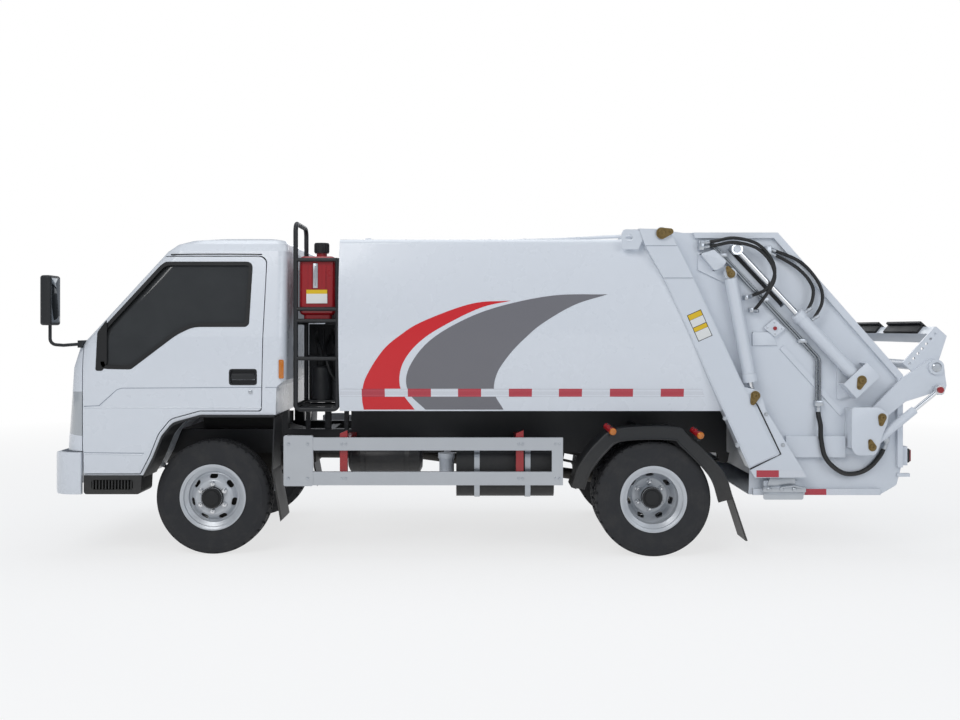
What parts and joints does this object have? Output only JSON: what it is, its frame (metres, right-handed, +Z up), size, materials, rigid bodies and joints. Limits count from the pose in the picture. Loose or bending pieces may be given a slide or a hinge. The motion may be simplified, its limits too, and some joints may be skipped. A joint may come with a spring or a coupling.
{
  "type": "garbage truck",
  "caption": "Small rear-loading refuse truck: cab-over chassis, bowed body, lifting tailgate with packer slide and blade, and a bin lifter.",
  "frame": {"origin": "middle of the truck on the road, at the centre of its bounding box", "axes": "+X to the rear, +Y to the far side, +Z up; the truck faces -X"},
  "size_m": [5.6668, 2.0744, 2.127],
  "materials": {
    "white_paint": "gloss white paint",
    "black_paint": "satin black chassis paint",
    "red_paint": "gloss red paint",
    "silver_paint": "silver wheel paint",
    "aluminium": "brushed extrusion",
    "cast_iron": "as cast",
    "steel": "bare steel",
    "chrome": "hard chromed rod",
    "tyre": "black rubber",
    "rubber": "black rubber",
    "black_plastic": "moulded black plastic",
    "grey_plastic": "moulded grey plastic",
    "glass": "dark tinted glass",
    "lamp_clear": "clear lamp lens",
    "lamp_amber": "amber lens",
    "lamp_red": "red lens",
    "seat_fabric": "woven seat cloth"
  },
  "bodies": {
    "chassis": {"chassis_frame": "black_paint", "front_axle": "cast_iron", "rear_axle": "cast_iron", "leaf_springs": "black_paint", "engine": "cast_iron", "exhaust": "steel", "fuel_tank": "black_plastic", "fuel_filter": "white_paint", "battery_box": "black_plastic", "bumper": "white_paint", "side_guards": "aluminium", "guard_stays": "red_paint", "mudguards": "black_plastic", "marker_lamps": "lamp_amber", "body_shell": "white_paint", "rear_columns": "white_paint", "tank_rack": "black_paint", "oil_tank": "red_paint", "tank_cap": "black_plastic", "air_intake": "black_plastic"},
    "cab": {"cab_shell": "white_paint", "cab_glass": "glass", "grille": "black_plastic", "headlamps": "lamp_clear", "mirrors": "black_plastic", "dashboard": "grey_plastic", "steering_wheel": "black_plastic", "seats": "seat_fabric", "cab_lower_trim": "black_plastic"},
    "door_left": {"door_left": "white_paint", "door_glass_left": "glass"},
    "door_right": {"door_right": "white_paint", "door_glass_right": "glass"},
    "knuckle_left": {"knuckle_left": "cast_iron"},
    "knuckle_right": {"knuckle_right": "cast_iron"},
    "wheel_front_left": {"tyre_front_left": "tyre", "rim_front_left": "silver_paint"},
    "wheel_front_right": {"tyre_front_right": "tyre", "rim_front_right": "silver_paint"},
    "wheel_rear_left": {"tyres_rear_left": "tyre", "rims_rear_left": "silver_paint"},
    "wheel_rear_right": {"tyres_rear_right": "tyre", "rims_rear_right": "silver_paint"},
    "tailgate": {"tailgate_walls": "white_paint", "hopper_tub": "white_paint", "tailgate_brackets": "white_paint", "tail_lamps": "lamp_red", "slide_barrels": "white_paint", "hydraulic_lines": "rubber"},
    "packer_slide": {"slide_plate": "white_paint", "slide_rods": "chrome"},
    "packer_blade": {"blade_plate": "white_paint"},
    "lifter": {"lifter_arms": "white_paint", "lifter_pads": "rubber"},
    "lift_barrels": {"lift_barrels": "white_paint"},
    "lift_rods": {"lift_rods": "chrome"},
    "lifter_barrels": {"lifter_barrels": "white_paint"},
    "lifter_rods": {"lifter_rods": "chrome"}
  },
  "joints": [
    {"name": "steer_left", "type": "hinge", "parent": "chassis", "child": "knuckle_left", "pos_m": [-1.833, -0.575, 0.365], "axis": [0, 0, 1], "range_deg": [-35, 35]},
    {"name": "steer_right", "type": "hinge", "parent": "chassis", "child": "knuckle_right", "pos_m": [-1.833, 0.575, 0.365], "axis": [0, 0, 1], "range_deg": [-35, 35]},
    {"name": "roll_front_left", "type": "hinge", "parent": "knuckle_left", "child": "wheel_front_left", "pos_m": [-1.833, -0.69, 0.365], "axis": [0, 1, 0], "continuous": true},
    {"name": "roll_front_right", "type": "hinge", "parent": "knuckle_right", "child": "wheel_front_right", "pos_m": [-1.833, 0.69, 0.365], "axis": [0, 1, 0], "continuous": true},
    {"name": "roll_rear_left", "type": "hinge", "parent": "chassis", "child": "wheel_rear_left", "pos_m": [0.967, -0.765, 0.365], "axis": [0, 1, 0], "continuous": true},
    {"name": "roll_rear_right", "type": "hinge", "parent": "chassis", "child": "wheel_rear_right", "pos_m": [0.967, 0.765, 0.365], "axis": [0, 1, 0], "continuous": true},
    {"name": "cab_tilt", "type": "hinge", "parent": "chassis", "child": "cab", "pos_m": [-2.778, 0, 0.64], "axis": [0, -1, 0], "range_deg": [0, 45]},
    {"name": "door_left_swing", "type": "hinge", "parent": "cab", "child": "door_left", "pos_m": [-2.631, -0.876, 1.2], "axis": [0, 0, -1], "range_deg": [0, 70]},
    {"name": "door_right_swing", "type": "hinge", "parent": "cab", "child": "door_right", "pos_m": [-2.631, 0.876, 1.2], "axis": [0, 0, 1], "range_deg": [0, 70]},
    {"name": "tailgate_lift", "type": "hinge", "parent": "chassis", "child": "tailgate", "pos_m": [1.01, 0, 2.039], "axis": [0, -1, 0], "range_deg": [0, 70]},
    {"name": "slide_travel", "type": "slide", "parent": "tailgate", "child": "packer_slide", "axis": [0.682, 0, -0.7314], "range_m": [0, 0.44]},
    {"name": "blade_swing", "type": "hinge", "parent": "packer_slide", "child": "packer_blade", "pos_m": [1.607, 0, 1.402], "axis": [0, -1, 0], "range_deg": [0, 55]},
    {"name": "lifter_swing", "type": "hinge", "parent": "tailgate", "child": "lifter", "pos_m": [2.391, 0, 0.885], "axis": [0, 1, 0], "range_deg": [0, 60]},
    {"name": "lift_barrel_swing", "type": "hinge", "parent": "tailgate", "child": "lift_barrels", "pos_m": [1.452, 0, 1.788], "axis": [0, 1, 0], "range_deg": [0, 72.25]},
    {"name": "lift_rod_stroke", "type": "slide", "parent": "lift_barrels", "child": "lift_rods", "axis": [0.1848, 0, -0.9828], "range_m": [0, 0.5819]},
    {"name": "lifter_barrel_swing", "type": "hinge", "parent": "tailgate", "child": "lifter_barrels", "pos_m": [2.329, 0, 0.7], "axis": [0, 1, 0], "range_deg": [0, 46.89]},
    {"name": "lifter_rod_stroke", "type": "slide", "parent": "lifter_barrels", "child": "lifter_rods", "axis": [-0.7737, 0, -0.6335], "range_m": [0, 0.1623]}
  ],
  "couplings": [
    {"joint": "steer_right", "follows": "steer_left", "ratio": 1},
    {"joint": "lift_barrel_swing", "follows": "tailgate_lift", "ratio": 1.032},
    {"joint": "lift_rod_stroke", "follows": "tailgate_lift", "m_per_rad": 0.47613},
    {"joint": "lifter_barrel_swing", "follows": "lifter_swing", "ratio": 0.78136},
    {"joint": "lifter_rod_stroke", "follows": "lifter_swing", "m_per_rad": 0.15475}
  ]
}
